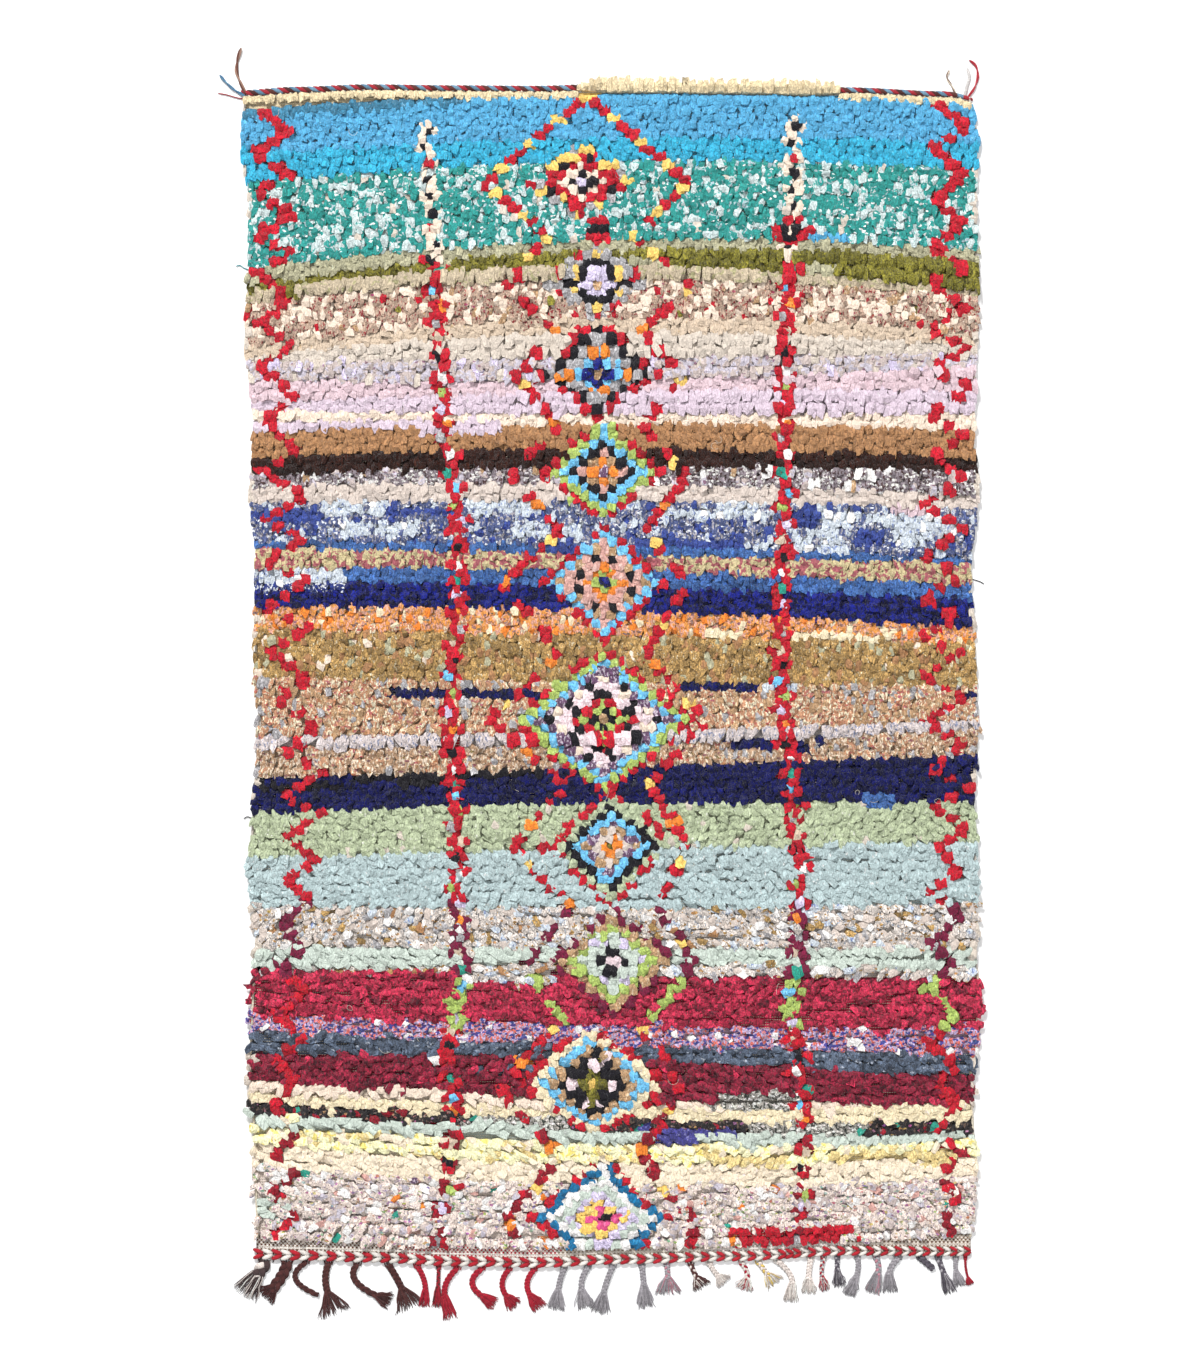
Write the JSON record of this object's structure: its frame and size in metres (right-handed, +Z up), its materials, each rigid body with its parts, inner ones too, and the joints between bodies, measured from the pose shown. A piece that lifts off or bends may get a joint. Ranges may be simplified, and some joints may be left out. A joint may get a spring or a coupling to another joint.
{
  "type": "boucherouite rug",
  "caption": "Flat hand-knotted rag rug with a lumpy shag pile, a flat-woven end with twined cord edging and a plaited fringe.",
  "frame": {"origin": "on the underside of the rug, in the middle of the cloth, on the surface that it lies on", "axes": "+Z up out of the pile, +Y along the rug away from the plaited fringe, +X across the rug to the right of that"},
  "size_m": [1.5346, 2.5562, 0.0204],
  "materials": {
    "rag_pile": "cut cotton rag strips, matt, crumpled",
    "warp_yarn": "twisted wool and cotton yarn, matt",
    "twined_cord": "red and white cotton cord, twined, matt",
    "end_cord": "red and blue cotton cord, twined, matt"
  },
  "bodies": {
    "root": {"pile_field": "rag_pile", "end_strip_and_braids": "warp_yarn", "bottom_edging": "twined_cord", "top_edging_and_ties": "end_cord"}
  },
  "joints": []
}
